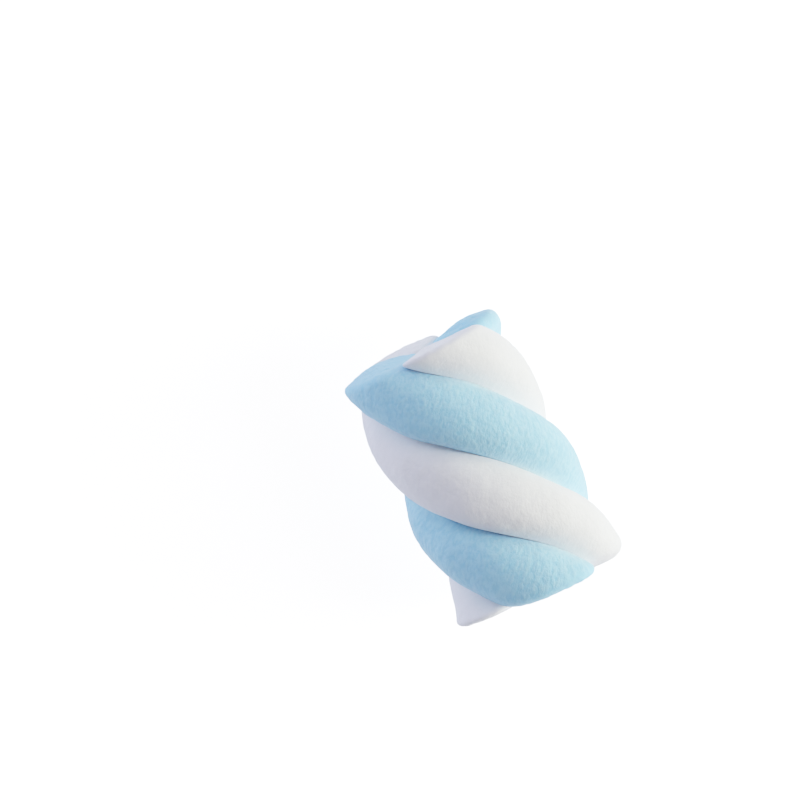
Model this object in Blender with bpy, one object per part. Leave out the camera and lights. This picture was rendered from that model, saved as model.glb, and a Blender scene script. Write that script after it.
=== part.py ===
"""A twist marshmallow: four soft ropes, two white and two pale blue by turns, laid round one line, twisted
together left-handed and cut across at both ends. It lies on its side along X, head cut towards +X, and
rests on small flats that its own weight has pressed where three of the ropes touch the ground."""

import math
from collections import namedtuple

import bmesh
import bpy
from mathutils import Matrix, Vector

MM = 0.001

# The twist as a whole
LENGTH = 49.8 * MM  # along the middle line, cut to cut
CREST_RADIUS = 16.0 * MM  # middle line to the crown of a rope, at the cuts
BELLY = 0.034  # how much fatter the middle is than the cuts
LAY = 68.6 * MM  # length in which a rope goes once round
HEAD_ANGLE = math.radians(107.6)  # of the first white rope's crown at the head cut, from +Y towards +Z

# One rope, in shares of CREST_RADIUS: an oval crown over a quarter wedge that ends near the middle line
CROWN_CENTRE = 0.583
CROWN_HALF_WIDTH = 0.5235
ROPE_COUNT = 4
GAP = 0.45 * MM  # between neighbours, measured straight across the twist; about 0.3 mm square to the walls
CORE_RADIUS = 0.9 * MM  # the thin hollow line that the four ropes leave in the middle

# The cuts: a little out of square, each rope's end slightly pillowed
HEAD_SLANT = Vector((0.0, 0.0084, -0.0964))  # X gained for each metre of Y and of Z
FOOT_SLANT = Vector((0.0, 0.0366, 0.0309))
EDGE_INSET = 0.9 * MM
EDGE_DROP = 0.35 * MM
PILLOW = 0.4 * MM
END_REACH = 0.3  # share of the half length over which an end rises and flares

# The flats that carry it
REST_HEIGHT = 15.9 * MM  # of the middle line over the ground

# Fineness of the mesh
CROWN_POINTS = 13
WALL_POINTS = 3
STEPS = 36

# Each rope lies a quarter turn on from the one before. In millimetres, pairs are for the head and the foot:
# how far its crown stands past the cut, and how far it flares out there; and where the seam to the next rope
# strays along the twist: place, reach and amount of each stray.
Rope = namedtuple("Rope", "node colour rises flares strays")
ROPES = (
    Rope("white_rope_1", "white", (0.0, -0.6), (0.0, 1.7), ()),
    Rope("blue_rope_1", "blue", (-0.2, 0.6), (1.4, 0.2), ((-16.8, 7.0, 1.35),)),
    Rope("white_rope_2", "white", (0.0, -0.4), (0.0, 0.5), ((2.3, 6.0, 0.85),)),
    Rope("blue_rope_2", "blue", (0.0, 0.0), (0.3, 0.0), ((16.5, 5.0, 0.75), (3.0, 5.0, -0.8))),
)

COLOURS = {"white": (0.88, 0.88, 0.87, 1.0), "blue": (0.41, 0.74, 0.91, 1.0)}
ROUGHNESS = 0.9


def clear_scene():
    for obj in list(bpy.data.objects):
        bpy.data.objects.remove(obj, do_unlink=True)


def new_collection(name):
    collection = bpy.data.collections.new(name)
    bpy.context.scene.collection.children.link(collection)
    return collection


def foam_material(colour):
    material = bpy.data.materials.new(f"{colour}_foam")
    material.use_nodes = True
    shader = material.node_tree.nodes["Principled BSDF"]
    shader.inputs["Base Color"].default_value = COLOURS[colour]
    shader.inputs["Roughness"].default_value = ROUGHNESS
    shader.inputs["Metallic"].default_value = 0.0
    material.diffuse_color = COLOURS[colour]
    return material


def crown_reach(angle):
    """Distance from the middle line to a rope's skin, at an angle from the rope's own crown: where a ray
    leaves the oval of half height 1 - CROWN_CENTRE and half width CROWN_HALF_WIDTH."""
    half_height = 1.0 - CROWN_CENTRE
    across = math.cos(angle) ** 2 / half_height**2 + math.sin(angle) ** 2 / CROWN_HALF_WIDTH**2
    along = CROWN_CENTRE * math.cos(angle) / half_height**2
    rest = CROWN_CENTRE**2 / half_height**2 - 1.0
    return CREST_RADIUS * (along + math.sqrt(along**2 - across * rest)) / across


def rope_section():
    """The outline of one rope across the twist, its crown towards +Y: crown, wall, core edge and wall."""
    wall_angle = math.pi / ROPE_COUNT
    last = wall_angle - math.asin(0.5 * GAP / crown_reach(wall_angle))
    crown = []
    for step in range(CROWN_POINTS):
        angle = last * (2.0 * step / (CROWN_POINTS - 1) - 1.0)
        crown.append(Vector((math.cos(angle), math.sin(angle))) * crown_reach(angle))
    core = Vector((math.cos(wall_angle), math.sin(wall_angle))) * CORE_RADIUS
    core += Vector((math.sin(wall_angle), -math.cos(wall_angle))) * 0.5 * GAP
    rising = [crown[-1].lerp(core, step / WALL_POINTS) for step in range(1, WALL_POINTS + 1)]
    falling = [Vector((point.x, -point.y)) for point in reversed(rising)]
    return crown + rising + falling


def turned(x):
    """Angle of the first white rope's crown at a place along the middle line."""
    return HEAD_ANGLE + 2.0 * math.pi * (LENGTH / 2.0 - x) / LAY


def seam_stray(x, strays):
    """How far along the twist a seam is out of its even helix: a sum of smooth humps."""
    return sum(amount * MM * math.exp(-(((x / MM - place) / reach) ** 2)) for place, reach, amount in strays)


def settle(point, place):
    """Takes a point of the even twist to its place: fatter in the middle, flared and slanted at the cuts, and
    drawn on along the twist where the rope's end stands out. Each side follows the strays of its own seam."""
    rope, previous = ROPES[place], ROPES[place - 1]
    along = 2.0 * point.x / LENGTH
    at_head = along > 0.0
    near_end = max(0.0, (abs(along) - 1.0 + END_REACH) / END_REACH) ** 2
    flare = (rope.flares[0] if at_head else rope.flares[1]) * MM * near_end / CREST_RADIUS
    swell = 1.0 + BELLY * max(0.0, 1.0 - along**2) + flare
    distance = math.hypot(point.y, point.z)
    rise = (rope.rises[0] if at_head else -rope.rises[1]) * MM * near_end * (distance / CREST_RADIUS) ** 2
    from_crown = math.atan2(point.z, point.y) - turned(point.x) - place * math.pi / 2.0
    towards_next = 0.5 + math.remainder(from_crown, 2.0 * math.pi) * 2.0 / math.pi
    stray = towards_next * seam_stray(point.x, rope.strays)
    stray += (1.0 - towards_next) * seam_stray(point.x, previous.strays)
    wide = Vector((0.0, point.y * swell, point.z * swell))
    drawn = Matrix.Rotation(2.0 * math.pi * (stray - rise) / LAY, 3, "X") @ wide
    slant = (HEAD_SLANT if at_head else FOOT_SLANT).dot(drawn) * along**2
    return Vector((point.x + slant + rise, drawn.y, drawn.z))


def rope_mesh(name, place):
    """One rope: its outline carried along the middle line while it turns, then settled into place."""
    bm = bmesh.new()
    start = -LENGTH / 2.0
    turn = Matrix.Rotation(turned(start) + place * 2.0 * math.pi / ROPE_COUNT, 4, "X")
    outline = [turn @ Vector((start, point.x, point.y)) for point in rope_section()]
    face = bm.faces.new([bm.verts.new(point) for point in outline])
    bmesh.ops.spin(
        bm,
        geom=[face],
        cent=(0.0, 0.0, 0.0),
        axis=(1.0, 0.0, 0.0),
        dvec=(LENGTH / STEPS, 0.0, 0.0),
        angle=-2.0 * math.pi * LENGTH / LAY,
        steps=STEPS,
    )
    bmesh.ops.recalc_face_normals(bm, faces=bm.faces)
    cuts = [face for face in bm.faces if len(face.verts) > 4]
    bmesh.ops.inset_individual(bm, faces=cuts, thickness=EDGE_INSET, depth=EDGE_DROP)
    bmesh.ops.poke(bm, faces=cuts, offset=PILLOW)
    for vert in bm.verts:
        vert.co = settle(vert.co, place)
    mesh = bpy.data.meshes.new(name)
    bm.to_mesh(mesh)
    bm.free()
    mesh.shade_smooth()
    mesh.set_sharp_from_angle(angle=math.radians(35.0))
    return mesh


def ground_cutter(collection):
    """A slab whose top is the ground, to press the flats into the ropes."""
    bpy.ops.mesh.primitive_cube_add(size=1.0)
    slab = bpy.context.object
    slab.name = "ground_slab"
    depth = CREST_RADIUS
    slab.data.transform(Matrix.Diagonal((2.0 * LENGTH, 4.0 * CREST_RADIUS, depth, 1.0)))
    slab.data.transform(Matrix.Translation((0.0, 0.0, -REST_HEIGHT - depth / 2.0)))
    for owner in list(slab.users_collection):
        owner.objects.unlink(slab)
    collection.objects.link(slab)
    slab.hide_render = True
    slab.display_type = "WIRE"
    return slab


def lowest(mesh):
    return min(vert.co.z for vert in mesh.vertices)


def box_middle(meshes):
    """Middle of the box round all the meshes, across the ground."""
    points = [vert.co for mesh in meshes for vert in mesh.vertices]
    middle_x = 0.5 * (min(point.x for point in points) + max(point.x for point in points))
    middle_y = 0.5 * (min(point.y for point in points) + max(point.y for point in points))
    return Vector((middle_x, middle_y))


def build():
    clear_scene()
    parts = new_collection("twist_marshmallow")
    cutters = new_collection("cutters")
    materials = {colour: foam_material(colour) for colour in COLOURS}
    meshes = []
    for place, rope in enumerate(ROPES):
        mesh = rope_mesh(rope.node, place)
        mesh.materials.append(materials[rope.colour])
        meshes.append(mesh)
    middle = box_middle(meshes)
    to_place = Vector((-middle.x, -middle.y, REST_HEIGHT))
    slab = ground_cutter(cutters)
    slab.location = to_place
    for mesh in meshes:
        solid = bpy.data.objects.new(mesh.name, mesh)
        solid.location = to_place
        parts.objects.link(solid)
        if lowest(mesh) < -REST_HEIGHT:
            flat = solid.modifiers.new("resting_flat", "BOOLEAN")
            flat.operation = "DIFFERENCE"
            flat.solver = "EXACT"
            flat.object = slab


build()
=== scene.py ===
"""The looks of a twist marshmallow: four powdery foam ropes, two white and two pale blue by turns, twisted
together left-handed and cut across at both ends. Each rope is one closed skin, worked out on a grid: along
the rope and round its outline, and closed at both cuts."""

import math
from collections import namedtuple

import bpy
import numpy as np
from mathutils import Matrix, Vector


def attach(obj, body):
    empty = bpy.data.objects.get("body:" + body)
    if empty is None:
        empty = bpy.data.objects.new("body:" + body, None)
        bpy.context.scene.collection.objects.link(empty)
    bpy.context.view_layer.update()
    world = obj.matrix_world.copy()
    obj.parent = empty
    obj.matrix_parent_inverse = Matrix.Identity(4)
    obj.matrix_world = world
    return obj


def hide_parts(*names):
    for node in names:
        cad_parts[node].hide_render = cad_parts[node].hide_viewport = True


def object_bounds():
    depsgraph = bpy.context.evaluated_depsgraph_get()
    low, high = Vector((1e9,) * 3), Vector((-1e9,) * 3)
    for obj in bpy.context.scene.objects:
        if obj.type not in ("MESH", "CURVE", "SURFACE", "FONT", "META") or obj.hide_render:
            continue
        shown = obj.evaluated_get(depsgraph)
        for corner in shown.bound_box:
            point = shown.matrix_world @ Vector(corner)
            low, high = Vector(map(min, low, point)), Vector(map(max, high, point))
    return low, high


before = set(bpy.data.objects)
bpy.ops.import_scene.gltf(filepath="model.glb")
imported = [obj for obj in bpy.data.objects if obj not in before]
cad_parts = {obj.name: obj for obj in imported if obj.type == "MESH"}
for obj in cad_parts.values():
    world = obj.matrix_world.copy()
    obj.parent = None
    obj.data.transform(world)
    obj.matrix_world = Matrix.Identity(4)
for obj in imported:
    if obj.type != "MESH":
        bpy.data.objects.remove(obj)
cad_low, cad_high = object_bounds()

MM = 0.001

# The twist as a whole
LENGTH = 49.8 * MM  # along the middle line, cut to cut
CREST_RADIUS = 16.0 * MM  # middle line to the crown of a rope, at the cuts
BELLY = 0.034  # how much fatter the middle is than the cuts
LAY = 68.6 * MM  # length in which a rope goes once round
HEAD_ANGLE = math.radians(107.6)  # of the first white rope's crown at the head cut, from +Y towards +Z
REST_HEIGHT = 15.9 * MM  # of the middle line over the ground
SAG_SOFTNESS = 0.12 * MM  # how gently a crown turns into the flat that it rests on

# One rope's outline across the twist
CROWN_CENTRE = 0.583 * CREST_RADIUS
CROWN_HALF_HEIGHT = 0.417 * CREST_RADIUS
CROWN_HALF_WIDTH = 0.5235 * CREST_RADIUS
WALL_ANGLE = math.radians(45.0)
CORE_EDGE = 0.75 * MM  # where the rope's inner edge ends, from the middle line
HEART = 0.52 * CREST_RADIUS  # the point that the outline is drawn round

# The seams, pressed shut on one side of the twist and gaping a little on the other
GAPE_ANGLE = math.radians(62.0)  # where they gape most, from +Y towards +Z
GAPE_POWER = 18  # the higher, the sooner they close on either side of that
GAPE_REACH = math.radians(16.0)  # down the walls, round a rope's heart
CRISPNESS = (400.0, 14.0)  # of the corner between crown and wall: shut, gaping
WALL_CLEARANCE = (0.01 * MM, 0.15 * MM)  # from the plane shared with the neighbour: shut, gaping
SEAM_WIDTH = 1.0 * MM  # within which the skin's relief dies away
CREASE_SHADE_WIDTH = 0.75 * MM  # of the painted shade that darkens a gaping seam
SEAM_LIGHT_WIDTH = 0.8 * MM  # of the painted light that lightens a pressed seam, as the neighbouring rope's light bleeds across it
SEAM_LIGHT_POWER = 3  # the higher, the sooner the painted light goes where a seam starts to gape

# The cuts
HEAD_SLANT = (0.0084, -0.0964)  # X gained for each metre of Y and of Z
FOOT_SLANT = (0.0366, 0.0309)
END_REACH = 0.3  # share of the half length over which an end rises and flares
CREVICE_DEPTH = 0.7 * MM  # how far the cut faces fall away at the seams
CREVICE_WIDTH = 1.3 * MM

# The skin's relief: its height, the length of its waves and how many of them are added up
SWELLS = (0.06 * MM, 9.0 * MM, 24)
DIMPLES = (0.018 * MM, 2.4 * MM, 48)
GRAIN = (0.008 * MM, 0.9 * MM, 64)
TORN = (0.025 * MM, 1.6 * MM, 64)
FUZZ = (0.012 * MM, 0.7 * MM, 64)
WAVE_SPREAD = (0.75, 1.4)  # of the waves' lengths, as shares of the length asked for
ROPE_SEEDS = (5, 15, 25, 35)

# Fineness of the grids
CROWN_COLUMNS = 184
WALL_COLUMNS = 56
BODY_ROWS = 260
EDGE_ROWS = 8
FACE_ROWS = 34

# Each rope lies a quarter turn on from the one before. In millimetres, pairs are for the head and the foot:
# how far its crown stands past the cut, how far it flares out there, how round its edge is and how far its
# face swells; and where the seam to the next rope strays along the twist: place, reach and amount.
Rope = namedtuple("Rope", "node colour rises flares roundings pillows strays")
FOOT_STRAY = ((-16.8, 7.0, 1.35),)
MIDDLE_STRAY = ((2.3, 6.0, 0.85),)
HEAD_STRAYS = ((16.5, 5.0, 0.75), (3.0, 5.0, -0.8))
ROPES = (
    Rope("white_rope_1", "white", (0.0, -0.6), (0.0, 1.7), (1.1, 1.6), (0.0, 0.3), ()),
    Rope("blue_rope_1", "blue", (0.8, 0.6), (1.6, 0.2), (4.2, 1.8), (0.65, 0.3), FOOT_STRAY),
    Rope("white_rope_2", "white", (0.0, -0.4), (0.0, 0.5), (1.3, 2.4), (0.5, 0.3), MIDDLE_STRAY),
    Rope("blue_rope_2", "blue", (0.0, 0.0), (0.3, 0.0), (1.5, 1.1), (1.0, 0.3), HEAD_STRAYS),
)


# ---------------------------------------------------------------- shapes


def waves(points, length, count, seed):
    """Even, seeded relief with a mean square of one: the sum of many plane waves of about the given length,
    each with its own direction and phase."""
    rng = np.random.default_rng(seed)
    heading = rng.normal(size=(3, count))
    heading /= np.linalg.norm(heading, axis=0)
    rate = 2.0 * np.pi / (length * rng.uniform(*WAVE_SPREAD, count))
    phase = rng.uniform(0.0, 2.0 * np.pi, count)
    return np.cos(points @ (heading * rate) + phase).sum(axis=-1) * math.sqrt(2.0 / count)


def corner_angle():
    """The angle, round the heart, of the corner between crown and wall: where the ray along the wall, from
    the middle line, leaves the crown's oval."""
    out, side = math.cos(WALL_ANGLE), math.sin(WALL_ANGLE)
    square = (out / CROWN_HALF_HEIGHT) ** 2 + (side / CROWN_HALF_WIDTH) ** 2
    linear = CROWN_CENTRE * out / CROWN_HALF_HEIGHT**2
    rest = (CROWN_CENTRE / CROWN_HALF_HEIGHT) ** 2 - 1.0
    reach = (linear + math.sqrt(linear**2 - square * rest)) / square
    return math.atan2(reach * side, reach * out - HEART)


def outline_angles():
    """Angles round the heart, from one corner right round; most of them fall on the crown."""
    corner = corner_angle()
    crown = np.linspace(-corner, corner, CROWN_COLUMNS, endpoint=False)
    wall = np.linspace(corner, 2.0 * np.pi - corner, WALL_COLUMNS, endpoint=False)
    return np.concatenate([crown, wall])


def seam_gape(angle, row_turn):
    """How far the seams gape, from nought to one, by row and column: a high power of the cosine of half the
    angle round the twist from where they gape most, taken at the corner that the column is nearer to. Down
    the walls it falls off, so the ropes stay closed round the middle line."""
    corner_turn = row_turn[:, None] + WALL_ANGLE * np.sign(np.sin(angle))
    round_the_twist = (0.5 + 0.5 * np.cos(corner_turn - GAPE_ANGLE)) ** GAPE_POWER
    from_crown = np.abs(np.mod(angle + np.pi, 2.0 * np.pi) - np.pi)
    past_corner = np.maximum(from_crown - corner_angle(), 0.0)
    return round_the_twist * np.exp(-((past_corner / GAPE_REACH) ** 2))


def outline_reach(angle, gape):
    """How far the outline lies from the heart: the soft minimum of a ray's reaches to the crown's oval, whose
    sides run straight on inwards from its widest place, to the two walls shared with the neighbours and to
    the core edge, each counted only where it lies ahead. The soft minimum is the sum of the inverse reaches,
    each to the power of the crispness, taken to the power of minus one over it."""
    crispness = CRISPNESS[0] * (CRISPNESS[1] / CRISPNESS[0]) ** gape
    clearance = WALL_CLEARANCE[0] + (WALL_CLEARANCE[1] - WALL_CLEARANCE[0]) * gape
    out, side = np.cos(angle), np.sin(angle)
    offset = HEART - CROWN_CENTRE
    square = (out / CROWN_HALF_HEIGHT) ** 2 + (side / CROWN_HALF_WIDTH) ** 2
    linear = offset * out / CROWN_HALF_HEIGHT**2
    rest = (offset / CROWN_HALF_HEIGHT) ** 2 - 1.0
    oval = (-linear + np.sqrt(linear**2 - square * rest)) / square
    straight = CROWN_HALF_WIDTH / np.maximum(np.abs(side), 1e-6)
    crown = np.where(HEART + oval * out > CROWN_CENTRE, oval, straight)
    wall_room = HEART * math.sin(WALL_ANGLE) - clearance
    towards_wall = np.abs(side) * math.cos(WALL_ANGLE) - out * math.sin(WALL_ANGLE)
    closeness = (HEART / crown) ** crispness
    closeness += (np.maximum(towards_wall, 0.0) * HEART / wall_room) ** crispness
    closeness += (np.maximum(-out, 0.0) * HEART / (HEART - CORE_EDGE)) ** crispness
    return HEART * closeness ** (-1.0 / crispness)


def end_profile(rounding, pillow):
    """From the side to the middle of a cut: the share of the outline left, how far behind or before the
    cut's plane, and how much it is part of the cut. A quarter round, then a face that swells a little."""
    turn = np.linspace(0.0, 0.5 * np.pi, EDGE_ROWS, endpoint=False)
    round_share = 1.0 - rounding / HEART * (1.0 - np.cos(turn))
    round_height = rounding * (np.sin(turn) - 1.0)
    face_share = np.linspace(1.0 - rounding / HEART, 0.0, FACE_ROWS)
    face_height = pillow * (1.0 - (face_share / face_share[0]) ** 2)
    cut = np.concatenate([(1.0 - np.cos(turn)) ** 0.5, np.ones(FACE_ROWS)])
    return np.concatenate([round_share, face_share]), np.concatenate([round_height, face_height]), cut


def rope_rows(roundings, pillows):
    """For each row of a rope's grid: place along the middle line, share of the outline, and how much the
    row belongs to a cut, from -1 at the foot to 1 at the head."""
    head_rounding, foot_rounding = roundings[0] * MM, roundings[1] * MM
    head_share, head_height, head_cut = end_profile(head_rounding, pillows[0] * MM)
    foot_share, foot_height, foot_cut = end_profile(foot_rounding, pillows[1] * MM)
    half = LENGTH / 2.0
    body = np.linspace(-half + foot_rounding, half - head_rounding, BODY_ROWS)[1:-1]
    place = np.concatenate([-half - foot_height[::-1], body, half + head_height])
    shares = np.concatenate([foot_share[::-1], np.ones(len(body)), head_share])
    cuts = np.concatenate([-foot_cut[::-1], np.zeros(len(body)), head_cut])
    return place, shares, cuts


def seam_strays(x, strays):
    """How far along the twist a seam is out of its even helix: a sum of smooth humps."""
    total = np.zeros_like(x)
    for place, reach, amount in strays:
        total += amount * MM * np.exp(-(((x / MM - place) / reach) ** 2))
    return total


def crown_turn(quarter, way):
    """The angle of a rope's crown, from +Y towards +Z, at a way back from the head cut: it grows by a full
    turn in the length of the lay."""
    return HEAD_ANGLE + quarter * np.pi / 2.0 + 2.0 * np.pi * way / LAY


def grid_normals(points):
    """Outward directions of a grid that closes on itself sideways: the cross product of its two slopes."""
    along = np.gradient(points, axis=0)
    around = np.roll(points, -1, axis=1) - np.roll(points, 1, axis=1)
    normal = np.cross(around, along)
    length = np.linalg.norm(normal, axis=2, keepdims=True)
    return normal / np.maximum(length, 1e-15)


def rope_points(quarter):
    """A rope's grid: its outline carried along the middle line while it turns with the lay, fatter in the
    middle, flared and slanted at the cuts, and drawn on along the twist where the crown stands out. Each
    half of it follows the strays of its own seam."""
    rope, previous = ROPES[quarter], ROPES[quarter - 1]
    place, share, cuts = rope_rows(rope.roundings, rope.pillows)
    angle = outline_angles()
    gape = seam_gape(angle, crown_turn(quarter, LENGTH / 2.0 - place))
    reach = share[:, None] * outline_reach(angle, gape)
    outward = HEART + reach * np.cos(angle)
    across = reach * np.sin(angle)
    wall_gap = np.maximum(outward * math.sin(WALL_ANGLE) - np.abs(across) * math.cos(WALL_ANGLE), 0.0)
    x = place[:, None] - CREVICE_DEPTH * cuts[:, None] * np.exp(-wall_gap / CREVICE_WIDTH)
    along = 2.0 * x / LENGTH
    near_end = np.maximum(0.0, (np.abs(along) - 1.0 + END_REACH) / END_REACH) ** 2
    flare = np.where(along > 0.0, rope.flares[0], rope.flares[1]) * MM * near_end / CREST_RADIUS
    swell = 1.0 + BELLY * np.maximum(0.0, 1.0 - along**2) + flare
    rise = np.where(along > 0.0, rope.rises[0], -rope.rises[1]) * MM * near_end
    rise *= (outward / CREST_RADIUS) ** 2
    towards_next = 0.5 + np.arctan2(across, outward) * 2.0 / np.pi
    stray = towards_next * seam_strays(x, rope.strays)
    stray += (1.0 - towards_next) * seam_strays(x, previous.strays)
    turn = crown_turn(quarter, LENGTH / 2.0 - x - rise + stray)
    y = (outward * np.cos(turn) - across * np.sin(turn)) * swell
    z = (outward * np.sin(turn) + across * np.cos(turn)) * swell
    head_slant = HEAD_SLANT[0] * y + HEAD_SLANT[1] * z
    foot_slant = FOOT_SLANT[0] * y + FOOT_SLANT[1] * z
    slant = np.where(along > 0.0, head_slant, foot_slant)
    points = np.stack([x + rise + slant * along**2, y, z], axis=2)
    return points, cuts, wall_gap, gape, rope_places(x, outward, across)


def rope_places(x, outward, across):
    """Each point's place on its rope as if the skin were unrolled: the way along the rope, the way across it,
    and the distance from the middle line."""
    steepness = math.atan(2.0 * math.pi * CREST_RADIUS / LAY)
    aside = CREST_RADIUS * np.arctan2(across, outward)
    along_rope = x / math.cos(steepness) - aside * math.sin(steepness)
    return np.stack([along_rope, aside * math.cos(steepness), np.hypot(outward, across)], axis=2)


def press_flat(points):
    """Lays the twist on the ground: what would reach lower is pressed up to it with a soft shoulder."""
    over = (points[:, :, 2] + REST_HEIGHT) / SAG_SOFTNESS
    lifted = SAG_SOFTNESS * np.logaddexp(0.0, over)
    pressed = points.copy()
    pressed[:, :, 2] = lifted - REST_HEIGHT
    return pressed


def rope_relief(points, cuts, seam, seed):
    """Height of the skin's unevenness: broad swells, soft dimples and fine grain all over, and torn foam and
    fuzz besides on the cut faces, dying away towards the seams."""
    swells, dimples, grain, torn, fuzz = (
        height * waves(points, length, count, seed + step)
        for step, (height, length, count) in enumerate((SWELLS, DIMPLES, GRAIN, TORN, FUZZ))
    )
    return (swells + dimples + grain + np.abs(cuts)[:, None] * (torn + fuzz)) * (1.0 - seam)


def closed_grid_mesh(name, points):
    """A mesh from a grid whose rows close on themselves and whose first and last rows are single points."""
    rows, columns, _ = points.shape
    inner = points[1:-1].reshape(-1, 3)
    vertices = np.concatenate([inner, points[:1, 0], points[-1:, 0]])
    index = np.arange((rows - 2) * columns).reshape(rows - 2, columns)
    right = np.roll(index, -1, axis=1)
    quads = np.stack([index[:-1], right[:-1], right[1:], index[1:]], axis=2).reshape(-1, 4)
    first, last = len(inner), len(inner) + 1
    start = np.stack([np.full(columns, first), right[0], index[0]], axis=1)
    end = np.stack([np.full(columns, last), index[-1], right[-1]], axis=1)
    mesh = bpy.data.meshes.new(name)
    mesh.from_pydata(vertices, [], quads.tolist() + start.tolist() + end.tolist())
    mesh.validate()
    mesh.shade_smooth()
    return mesh


def add_point_values(mesh, name, values):
    """Stores a number or a vector for each vertex of a closed grid mesh, from values on the whole grid."""
    kind, field = ("FLOAT_VECTOR", "vector") if values.ndim == 3 else ("FLOAT", "value")
    inner = values[1:-1].reshape(-1, *values.shape[2:])
    flat = np.concatenate([inner, values[:1, 0], values[-1:, 0]])
    attribute = mesh.attributes.new(name, kind, "POINT")
    attribute.data.foreach_set(field, flat.astype(np.float32).ravel())


def make_rope(quarter, node):
    """One rope's skin: its grid, moved outwards by its relief and pressed flat on the ground. The mesh keeps
    how much each point belongs to a cut, to the painted shade of a gaping seam and to the painted light along
    a pressed one, and its place on the rope."""
    points, cuts, wall_gap, gape, places = rope_points(quarter)
    seam = np.exp(-wall_gap / SEAM_WIDTH)
    normals = grid_normals(points)
    normals[0] = (-1.0, 0.0, 0.0)
    normals[-1] = (1.0, 0.0, 0.0)
    relief = rope_relief(points, cuts, seam, ROPE_SEEDS[quarter])
    skin = press_flat(points + normals * relief[:, :, None])
    mesh = closed_grid_mesh(f"{node}_skin", skin)
    add_point_values(mesh, "cut", np.broadcast_to(np.abs(cuts)[:, None], seam.shape))
    # Painted shade: how much the colour darkens a point in a gaping seam
    add_point_values(mesh, "crease_shade", gape * np.exp(-wall_gap / CREASE_SHADE_WIDTH))
    # Painted light: how much the colour lightens a point along a pressed seam
    add_point_values(mesh, "seam_light", (1.0 - gape) ** SEAM_LIGHT_POWER * np.exp(-wall_gap / SEAM_LIGHT_WIDTH))
    add_point_values(mesh, "rope_place", places)
    rope = bpy.data.objects.new(f"{node}_skin", mesh)
    bpy.context.scene.collection.objects.link(rope)
    return rope


# ---------------------------------------------------------------- materials

# Noises of the powdered foam: scale for each metre, detail and roughness. The wrinkles' scale is given along
# the rope, across it and into it.
WRINKLE_SCALES = (1500.0, 750.0, 750.0)
WRINKLE_NOISE = (1.0, 3.0, 0.55)
GRAIN_NOISE = (2600.0, 2.0, 0.6)
TORN_NOISE = (1100.0, 4.0, 0.62)
PIT_NOISE = (750.0, 2.0, 0.5)
CLOUD_NOISE = (260.0, 3.0, 0.55)
PIT_EDGE = (0.6, 0.72)  # of its noise, where a pit begins and where it is full
HOLLOW_SHADE_EDGE = (0.62, 0.38)  # of the wrinkles' noise, likewise, for the painted shade in their hollows
GRAIN_HEIGHT = 0.35  # beside the torn foam's height of one
PIT_DEPTH = 0.6  # likewise
CLOUD_SHARE = 0.35  # of the mottle
HOLLOW_SHADE_SHARE = 0.45  # of the mottle likewise: the painted shade darkening the wrinkles' hollows

# How strongly each shows in the foam's colour: the painted light along the pressed seams, the painted shade
# in the gaping seams and the painted shade in the cut's pits
SEAM_LIGHT_STRENGTH = 0.65
CREASE_SHADE_STRENGTH = 0.9
PIT_SHADE_STRENGTH = 0.4

FOAM_FINISH = {
    "Roughness": 0.95,
    "Specular IOR Level": 0.15,
    "Sheen Weight": 0.3,
    "Sheen Roughness": 0.5,
    "Subsurface Weight": 0.35,
    "Subsurface Scale": 1.2 * MM,
}
FOAM_BUMP = {"Strength": 0.75, "Distance": 0.17 * MM}
FLOOR_FINISH = {
    "Base Color": (0.9, 0.9, 0.9, 1.0),
    "Roughness": 0.9,
    "Specular IOR Level": 0.1,
    "Emission Strength": 1.0,
}
FLOOR_GLOW = (0.79, 0.79, 0.79, 1.0)
FLOOR_BOUNCE = (0.16, 0.185, 0.27, 1.0)

# A Mix node has a set of sockets for each kind of data. These are its factor, its two colours and its result.
MIX_COLOUR_INPUTS = (0, 6, 7)
MIX_COLOUR_OUTPUT = 2


def set_sockets(node, values):
    """Sets a node's inputs by their names."""
    for label, value in values.items():
        node.inputs[label].default_value = value


def feed(links, socket, value):
    """Links a socket to another one, or sets it to a plain value."""
    if isinstance(value, bpy.types.NodeSocket):
        links.new(value, socket)
    else:
        socket.default_value = value


def new_group(name, inputs, outputs):
    """An empty shader node group with float, colour or vector sockets."""
    group = bpy.data.node_groups.new(name, "ShaderNodeTree")
    kinds = {"float": "NodeSocketFloat", "colour": "NodeSocketColor", "vector": "NodeSocketVector"}
    for label, kind, value in inputs:
        socket = group.interface.new_socket(name=label, in_out="INPUT", socket_type=kinds[kind])
        socket.default_value = value
    for label, kind in outputs:
        group.interface.new_socket(name=label, in_out="OUTPUT", socket_type=kinds[kind])
    enter = group.nodes.new("NodeGroupInput")
    leave = group.nodes.new("NodeGroupOutput")
    return group, enter, leave


def noise(nodes, links, vector, kind):
    """Fractal noise, its kind given as scale, detail and roughness."""
    node = nodes.new("ShaderNodeTexNoise")
    set_sockets(node, dict(zip(("Scale", "Detail", "Roughness"), kind)))
    links.new(vector, node.inputs["Vector"])
    return node.outputs["Fac"]


def math_node(nodes, links, operation, first, second):
    """Two values, sockets or plain numbers, put together by an operation such as ADD or MULTIPLY."""
    node = nodes.new("ShaderNodeMath")
    node.operation = operation
    feed(links, node.inputs[0], first)
    feed(links, node.inputs[1], second)
    return node.outputs[0]


def stretched(nodes, links, vector, scales):
    """The vector times a scale for each of its three parts."""
    node = nodes.new("ShaderNodeVectorMath")
    node.operation = "MULTIPLY"
    links.new(vector, node.inputs[0])
    node.inputs[1].default_value = scales
    return node.outputs[0]


def ramp_between(nodes, links, value, edge):
    """Nought on the near side of an edge, given as where it begins and where it is full, one on its far side,
    and a smooth step between."""
    node = nodes.new("ShaderNodeMapRange")
    node.interpolation_type = "SMOOTHSTEP"
    set_sockets(node, {"From Min": edge[0], "From Max": edge[1]})
    links.new(value, node.inputs["Value"])
    return node.outputs["Result"]


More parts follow.
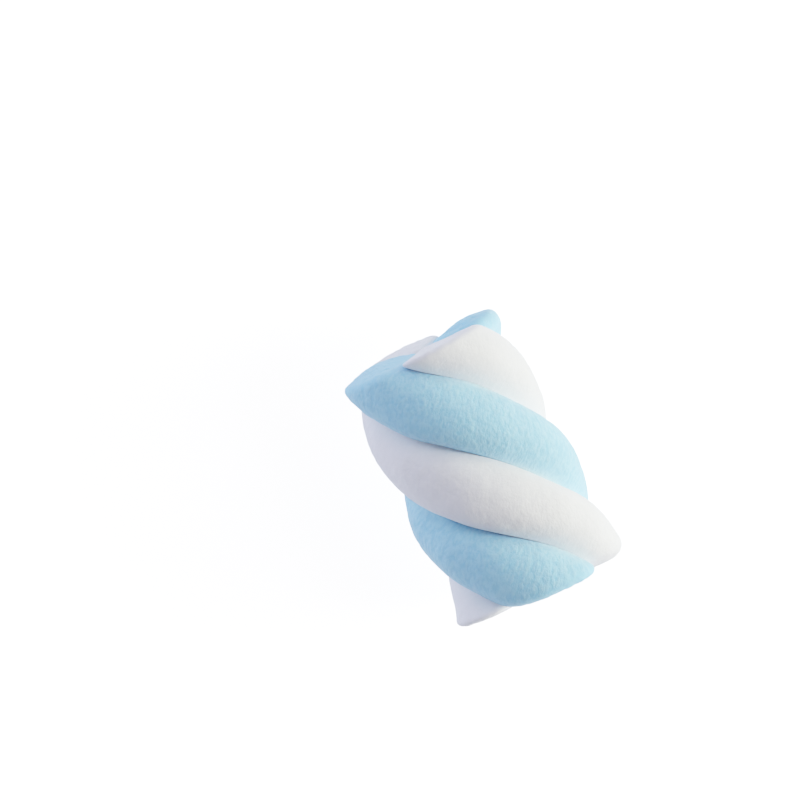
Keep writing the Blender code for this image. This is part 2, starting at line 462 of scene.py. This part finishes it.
def powder_group():
    """Powdered foam. The sides carry fine wrinkles that run across the rope, drawn out by its twisting, and
    the whole skin a finer grain; a cut face is torn, with pits. Gives a mottle for the colour, which is
    random clouds together with painted shade in the wrinkles' hollows, the pits, which the colour darkens as
    painted shade, and the height of it all."""
    inputs = [("Place", "vector", (0.0, 0.0, 0.0)), ("Cut", "float", 0.0), ("Wrinkles", "float", 1.0)]
    outputs = [("Mottle_and_hollow_shade", "float"), ("Pits", "float"), ("Height", "float")]
    group, enter, leave = new_group("powdered_foam", inputs, outputs)
    nodes, links = group.nodes, group.links
    place = nodes.new("ShaderNodeTexCoord").outputs["Object"]
    unrolled = stretched(nodes, links, enter.outputs["Place"], WRINKLE_SCALES)
    wrinkles = noise(nodes, links, unrolled, WRINKLE_NOISE)
    grain = noise(nodes, links, place, GRAIN_NOISE)
    torn = noise(nodes, links, place, TORN_NOISE)
    clouds = noise(nodes, links, place, CLOUD_NOISE)
    pits = ramp_between(nodes, links, noise(nodes, links, place, PIT_NOISE), PIT_EDGE)
    pits = math_node(nodes, links, "MULTIPLY", pits, enter.outputs["Cut"])
    side = math_node(nodes, links, "SUBTRACT", 1.0, enter.outputs["Cut"])
    side_height = math_node(nodes, links, "MULTIPLY", wrinkles, side)
    side_height = math_node(nodes, links, "MULTIPLY", side_height, enter.outputs["Wrinkles"])
    grain_height = math_node(nodes, links, "MULTIPLY", grain, GRAIN_HEIGHT)
    torn_height = math_node(nodes, links, "MULTIPLY", torn, enter.outputs["Cut"])
    pit_depth = math_node(nodes, links, "MULTIPLY", pits, PIT_DEPTH)
    height = math_node(nodes, links, "ADD", side_height, grain_height)
    height = math_node(nodes, links, "ADD", height, torn_height)
    height = math_node(nodes, links, "SUBTRACT", height, pit_depth)
    cloudy = math_node(nodes, links, "MULTIPLY", clouds, CLOUD_SHARE)
    # Painted shade: the wrinkles' hollows are darkened in the colour
    hollow_shade = ramp_between(nodes, links, wrinkles, HOLLOW_SHADE_EDGE)
    hollow_shade = math_node(nodes, links, "MULTIPLY", hollow_shade, HOLLOW_SHADE_SHARE)
    links.new(math_node(nodes, links, "ADD", cloudy, hollow_shade), leave.inputs["Mottle_and_hollow_shade"])
    links.new(pits, leave.inputs["Pits"])
    links.new(height, leave.inputs["Height"])
    return group


def mix_colours(nodes, links, factor, first, second):
    """The first colour where the factor is nought, the second where it is one."""
    node = nodes.new("ShaderNodeMix")
    node.data_type = "RGBA"
    for place, value in zip(MIX_COLOUR_INPUTS, (factor, first, second)):
        feed(links, node.inputs[place], value)
    return node.outputs[MIX_COLOUR_OUTPUT]


def foam_material(name, group, body, mottled_and_shaded, crease_shade, seam_light, inside, pit_shade, wrinkles, radius):
    """Matte sugar foam: its colour, mottled a little and darkened in the wrinkles' hollows as painted shade,
    lightened along the pressed seams as painted light and darkened in the gaping seams as painted shade, with
    its inside colour on a cut and darkened in the cut's pits as painted shade. Its powder has a faint sheen."""
    material = bpy.data.materials.new(name)
    material.use_nodes = True
    nodes, links = material.node_tree.nodes, material.node_tree.links
    shader = nodes["Principled BSDF"]
    powder = nodes.new("ShaderNodeGroup")
    powder.node_tree = group
    readers = {}
    for label in ("cut", "crease_shade", "seam_light", "rope_place"):
        readers[label] = nodes.new("ShaderNodeAttribute")
        readers[label].attribute_name = label
    links.new(readers["rope_place"].outputs["Vector"], powder.inputs["Place"])
    links.new(readers["cut"].outputs["Fac"], powder.inputs["Cut"])
    powder.inputs["Wrinkles"].default_value = wrinkles
    # Painted light lightening the pressed seams, as the neighbouring rope's light bleeds across
    seam_lit = math_node(nodes, links, "MULTIPLY", readers["seam_light"].outputs["Fac"], SEAM_LIGHT_STRENGTH)
    # Painted shade darkening the gaping seams
    crease_shading = math_node(nodes, links, "MULTIPLY", readers["crease_shade"].outputs["Fac"], CREASE_SHADE_STRENGTH)
    # Painted shade: the pits of a cut face are darkened in the colour
    pit_shading = math_node(nodes, links, "MULTIPLY", powder.outputs["Pits"], PIT_SHADE_STRENGTH)
    # The mottle is random tone plus painted shade in the wrinkles' hollows
    tint = mix_colours(nodes, links, powder.outputs["Mottle_and_hollow_shade"], body, mottled_and_shaded)
    tint = mix_colours(nodes, links, seam_lit, tint, seam_light)
    tint = mix_colours(nodes, links, crease_shading, tint, crease_shade)
    tint = mix_colours(nodes, links, readers["cut"].outputs["Fac"], tint, inside)
    links.new(mix_colours(nodes, links, pit_shading, tint, pit_shade), shader.inputs["Base Color"])
    set_sockets(shader, FOAM_FINISH)
    shader.inputs["Subsurface Radius"].default_value = radius
    bump = nodes.new("ShaderNodeBump")
    set_sockets(bump, FOAM_BUMP)
    links.new(powder.outputs["Height"], bump.inputs["Height"])
    links.new(bump.outputs["Normal"], shader.inputs["Normal"])
    return material


def floor_material():
    """A white table lit from below, as a product table is; to its surroundings it gives less, bluer light."""
    material = bpy.data.materials.new("pale_floor")
    material.use_nodes = True
    nodes, links = material.node_tree.nodes, material.node_tree.links
    shader = nodes["Principled BSDF"]
    seen = nodes.new("ShaderNodeLightPath").outputs["Is Camera Ray"]
    links.new(mix_colours(nodes, links, seen, FLOOR_BOUNCE, FLOOR_GLOW), shader.inputs["Emission Color"])
    set_sockets(shader, FLOOR_FINISH)
    return material


# ---------------------------------------------------------------- the ropes

POWDER = powder_group()
WHITE_FOAM = foam_material(
    "white_foam",
    POWDER,
    body=(0.91, 0.905, 0.895, 1.0),
    # the darker tone: random mottle, and painted shade in the wrinkles' hollows
    mottled_and_shaded=(0.85, 0.85, 0.85, 1.0),
    # the painted shade of the gaping seams
    crease_shade=(0.84, 0.85, 0.87, 1.0),
    # the painted light along the pressed seams
    seam_light=(0.88, 0.90, 0.90, 1.0),
    inside=(0.86, 0.865, 0.885, 1.0),
    # the painted shade in the cut's pits
    pit_shade=(0.72, 0.73, 0.77, 1.0),
    wrinkles=0.7,
    radius=(1.0, 1.0, 1.0),
)
BLUE_FOAM = foam_material(
    "blue_foam",
    POWDER,
    body=(0.42, 0.765, 0.965, 1.0),
    # the darker tone: random mottle, and painted shade in the wrinkles' hollows
    mottled_and_shaded=(0.27, 0.61, 0.85, 1.0),
    # the painted shade of the gaping seams
    crease_shade=(0.09, 0.32, 0.57, 1.0),
    # the painted light along the pressed seams
    seam_light=(0.72, 0.90, 0.97, 1.0),
    inside=(0.32, 0.68, 0.96, 1.0),
    # the painted shade in the cut's pits
    pit_shade=(0.24, 0.54, 0.78, 1.0),
    wrinkles=1.7,
    radius=(0.6, 0.9, 1.0),
)
FOAMS = {"white": WHITE_FOAM, "blue": BLUE_FOAM}

skins = []
for quarter, rope in enumerate(ROPES):
    skin = make_rope(quarter, rope.node)
    skin.data.materials.append(FOAMS[rope.colour])
    skins.append((skin, rope.node, rope.colour))

# The middle line's place: the skins' box is centred on the CAD box, and stands on its base
corners = np.array([corner for skin, _, _ in skins for corner in skin.bound_box])
middle = 0.5 * (corners.min(axis=0) + corners.max(axis=0))
cad_middle = 0.5 * (cad_low + cad_high)
to_place = Vector((cad_middle.x - middle[0], cad_middle.y - middle[1], cad_low.z + REST_HEIGHT))
for skin, node, colour in skins:
    skin.data.transform(Matrix.Translation(to_place))
    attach(skin, "root")
    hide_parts(node)


# ---------------------------------------------------------------- floor, light and camera

LEAN = math.radians(27.75)  # of the middle line in the view, to the left of upright
TILT = math.radians(0.56)  # of the head cut towards the camera
DISTANCE = 450.0 * MM  # of the camera from the twist's middle
VIEW_RIGHT = 14.97 * MM  # the twist's middle, from the view's middle
VIEW_DOWN = 12.55 * MM
LENS = 111.0  # in millimetres, as Blender wants it
SENSOR_WIDTH = 36.0  # likewise
CLIP_END = 10.0

FLOOR_SIDE = 4.0
BACKDROP = (0.5, 0.5, 0.5, 1.0)
WORLD_GLIMMER = (0.002, 0.002, 0.002, 1.0)

# Each lamp's direction is given as degrees round in the view, from its right edge anticlockwise, and degrees
# up from the ground
Lamp = namedtuple("Lamp", "name round_angle up_angle power colour")
LAMPS = (
    Lamp("key", 0.0, 38.0, 0.83, (1.0, 1.0, 0.98)),
    Lamp("low_key", 0.0, 12.0, 1.16, (0.98, 1.0, 0.92)),
    Lamp("upper_rim", 45.0, 12.0, 0.42, (0.93, 1.0, 0.79)),
    Lamp("upper_fill", 135.0, 12.0, 0.42, (0.67, 0.69, 1.0)),
    Lamp("left_fill", 178.0, 38.0, 0.59, (0.77, 0.79, 1.0)),
)
LAMP_DISTANCE = 0.6
LAMP_SIDE = 0.3

RESPONSE = 4.0
RESPONSE_POINTS = (0.01, 0.03, 0.07, 0.14, 0.25, 0.42, 0.65, 0.85)


def camera_turn():
    """The camera's axes in the object's frame, as the columns of a turning matrix."""
    head = Vector((-math.sin(LEAN) * math.cos(TILT), math.cos(LEAN) * math.cos(TILT), math.sin(TILT)))
    side = Vector((math.cos(LEAN), math.sin(LEAN), 0.0))
    front = side.cross(head)
    return Matrix((head, -side, front))


def make_camera():
    """The camera, looking down on the twist, which leans in its view. Returns how it is turned."""
    data = bpy.data.cameras.new("camera")
    data.lens = LENS
    data.sensor_width = SENSOR_WIDTH
    data.clip_end = CLIP_END
    camera = bpy.data.objects.new("camera", data)
    bpy.context.scene.collection.objects.link(camera)
    turn = camera_turn()
    eye = to_place - turn @ Vector((VIEW_RIGHT, -VIEW_DOWN, -DISTANCE))
    camera.matrix_world = Matrix.Translation(eye) @ turn.to_4x4()
    bpy.context.scene.camera = camera
    return turn


def soft_light(lamp, turn):
    """A square area light, out of the camera's sight, that faces the twist from the lamp's direction."""
    round_angle, up_angle = math.radians(lamp.round_angle), math.radians(lamp.up_angle)
    level = Vector((math.cos(round_angle), math.sin(round_angle), 0.0)) * math.cos(up_angle)
    ray = turn @ (level + Vector((0.0, 0.0, math.sin(up_angle))))
    data = bpy.data.lights.new(lamp.name, "AREA")
    data.energy = lamp.power
    data.color = lamp.colour
    data.size = LAMP_SIDE
    light = bpy.data.objects.new(lamp.name, data)
    bpy.context.scene.collection.objects.link(light)
    light.location = to_place + ray * LAMP_DISTANCE
    light.rotation_mode = "QUATERNION"
    light.rotation_quaternion = ray.to_track_quat("Z", "Y")
    light.visible_camera = False


def make_world():
    """A pale backdrop to the camera, and next to no light to all else."""
    world = bpy.data.worlds.new("studio")
    bpy.context.scene.world = world
    world.use_nodes = True
    nodes, links = world.node_tree.nodes, world.node_tree.links
    seen = nodes.new("ShaderNodeLightPath").outputs["Is Camera Ray"]
    backdrop = mix_colours(nodes, links, seen, WORLD_GLIMMER, BACKDROP)
    links.new(backdrop, nodes["Background"].inputs["Color"])


def make_floor():
    """A plain square on the ground."""
    half = FLOOR_SIDE / 2.0
    corners = [(-half, -half, 0.0), (half, -half, 0.0), (half, half, 0.0), (-half, half, 0.0)]
    mesh = bpy.data.meshes.new("floor")
    mesh.from_pydata(corners, [], [(0, 1, 2, 3)])
    mesh.materials.append(floor_material())
    floor = bpy.data.objects.new("floor", mesh)
    bpy.context.scene.collection.objects.link(floor)


def camera_response():
    """A camera's response to light, which lifts shades and holds lights back: with k for its strength, light
    x comes out as (1 + k) x / (1 + k x)."""
    settings = bpy.context.scene.view_settings
    settings.view_transform = "Standard"
    settings.use_curve_mapping = True
    curve = settings.curve_mapping.curves[3]
    for light in RESPONSE_POINTS:
        curve.points.new(light, (1.0 + RESPONSE) * light / (1.0 + RESPONSE * light))
    settings.curve_mapping.update()


make_floor()
turn = make_camera()
for lamp in LAMPS:
    soft_light(lamp, turn)
make_world()
camera_response()
